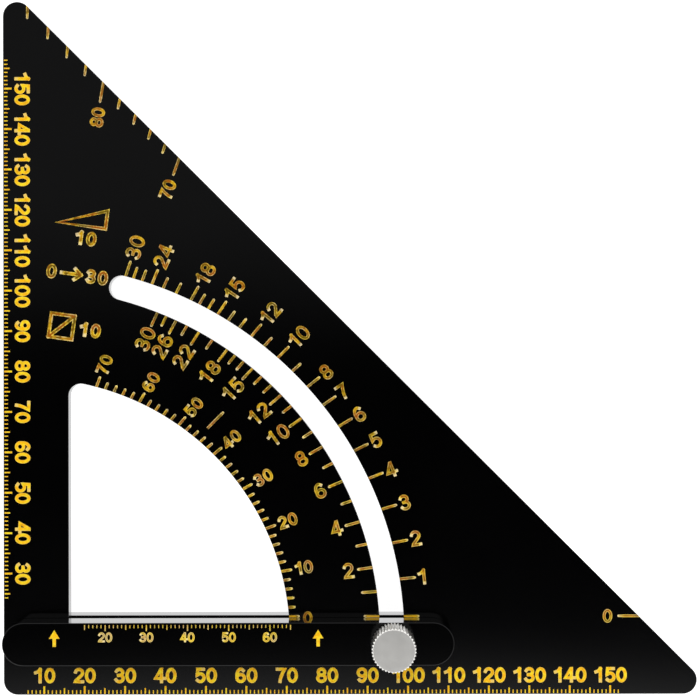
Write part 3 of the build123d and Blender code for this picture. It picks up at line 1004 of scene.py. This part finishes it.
# %% Arrows and scale on the front bar
bar_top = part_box("front_bar")[1].z / MM
arrow_tip, arrow_neck, arrow_foot = 3.57, 1.4, -0.55  # from the bar's middle
half_head, half_stem = 1.35, 0.435
half_outline = [(half_head, arrow_neck), (half_stem, arrow_neck), (half_stem, arrow_foot)]
arrows = []
for x in (7.64, 71.7):
    left = [(x - across, up) for across, up in half_outline]
    right = [(x + across, up) for across, up in half_outline[::-1]]
    arrows.append(printed_patch([(x, arrow_tip), *left, *right], bar_top))
paint_piece("fence_arrows", arrows, ink, "fence")

fine_rings = [(0.0, -0.01, 1.0), (0.08, 0.012, 0.1), (0.15, 0.018, 0.1), (0.27, 0.01, 0.9)]
fine_marks = {10: (1.5, 0.32), 5: (1.2, 0.28), 1: (0.8, 0.24)}
fine_size, fine_half_pitch, fine_numbers_up = (2.51, 0.58), 0.88, 1.75
hung_from = 4.75
fence_scale = []
for millimetre in range(15, 66):
    if millimetre % 10 == 0:
        centres = [(millimetre + way * fine_half_pitch, fine_numbers_up) for way in (-1, 1)]
        fence_scale += label(str(millimetre), fine_size, centres, 0, fine_rings, bar_top)
    length, width = size_at(millimetre, fine_marks)
    fence_scale.append(bar_mark(millimetre, hung_from - length, length, width, bar_top, 0.5))
paint_piece("fence_scale", fence_scale, enamel, "fence")

# %% [markdown]
# ## Clamp bolt
# The solid of the bolt has a plain shank, because a thread is costly in an engineering model. Here
# it gets its thread: rings of points up the shank whose radius rises and falls once a pitch, and
# shifts by one pitch in a full turn, which is all that a helix is. The head is a hexagon whose
# corners are cut by a cone, and both shapes fit in one grid of rings.

# %% The bolt's grid of rings
pitch, thread_depth, shank_radius = 0.7, 0.43, 2.0
thread_step = 0.07  # between rings up the thread
tip_end_radius = 1.6  # the thread's end is chamfered down to this
bolt_low, bolt_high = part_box("clamp_bolt")
head_bottom, bolt_tip = bolt_low.z / MM, bolt_high.z / MM
head_height, half_flats, head_bevel = 2.8, 3.5, 30  # the bevel is in degrees
seat = head_bottom + head_height
steps = 48
turns = np.linspace(0, math.tau, steps, endpoint=False)
hexagon = half_flats / np.cos(np.radians(np.degrees(turns) % 60 - 30))

levels = [(head_bottom, np.full(steps, half_flats))]
for rise in (0.06, 0.12, 0.2, 0.32):
    cone = half_flats + rise / math.tan(math.radians(head_bevel))
    levels.append((head_bottom + rise, np.minimum(hexagon, cone)))
levels += [(seat, hexagon), (seat, np.full(steps, shank_radius))]
for z in np.arange(seat + 0.05, bolt_tip, thread_step):
    phase = (z / pitch - turns / math.tau) % 1
    crest = np.clip((np.abs(2 * phase - 1) - 0.1) / 0.75, 0, 1)
    radius = shank_radius - thread_depth * (1 - crest)
    levels.append((z, np.minimum(radius, tip_end_radius + (bolt_tip - z))))
levels.append((bolt_tip, np.full(steps, tip_end_radius - 0.05)))

points = [(0.0, 0.0, head_bottom)]
for z, radius in levels:
    points += [(r * math.cos(t), r * math.sin(t), z) for r, t in zip(radius, turns)]
points.append((0.0, 0.0, bolt_tip))
faces = []
for i in range(steps):
    j = (i + 1) % steps
    faces.append((0, 1 + j, 1 + i))
    for ring in range(len(levels) - 1):
        low, high = 1 + ring * steps, 1 + (ring + 1) * steps
        faces.append((low + i, low + j, high + j, high + i))
    last = 1 + (len(levels) - 1) * steps
    faces.append((last + i, last + j, len(points) - 1))

placed = np.array(points) + (clamp_axis[0] / MM, clamp_axis[1] / MM, 0)
bolt = new_object("threaded_clamp_bolt", placed, faces, zinc_plate)
bolt.data.shade_smooth()
bolt.data.set_sharp_from_angle(angle=math.radians(28))
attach(bolt, "fence")
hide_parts("clamp_bolt")
print("bolt", round(bolt_tip - head_bottom, 2), "mm long,", len(faces), "faces")
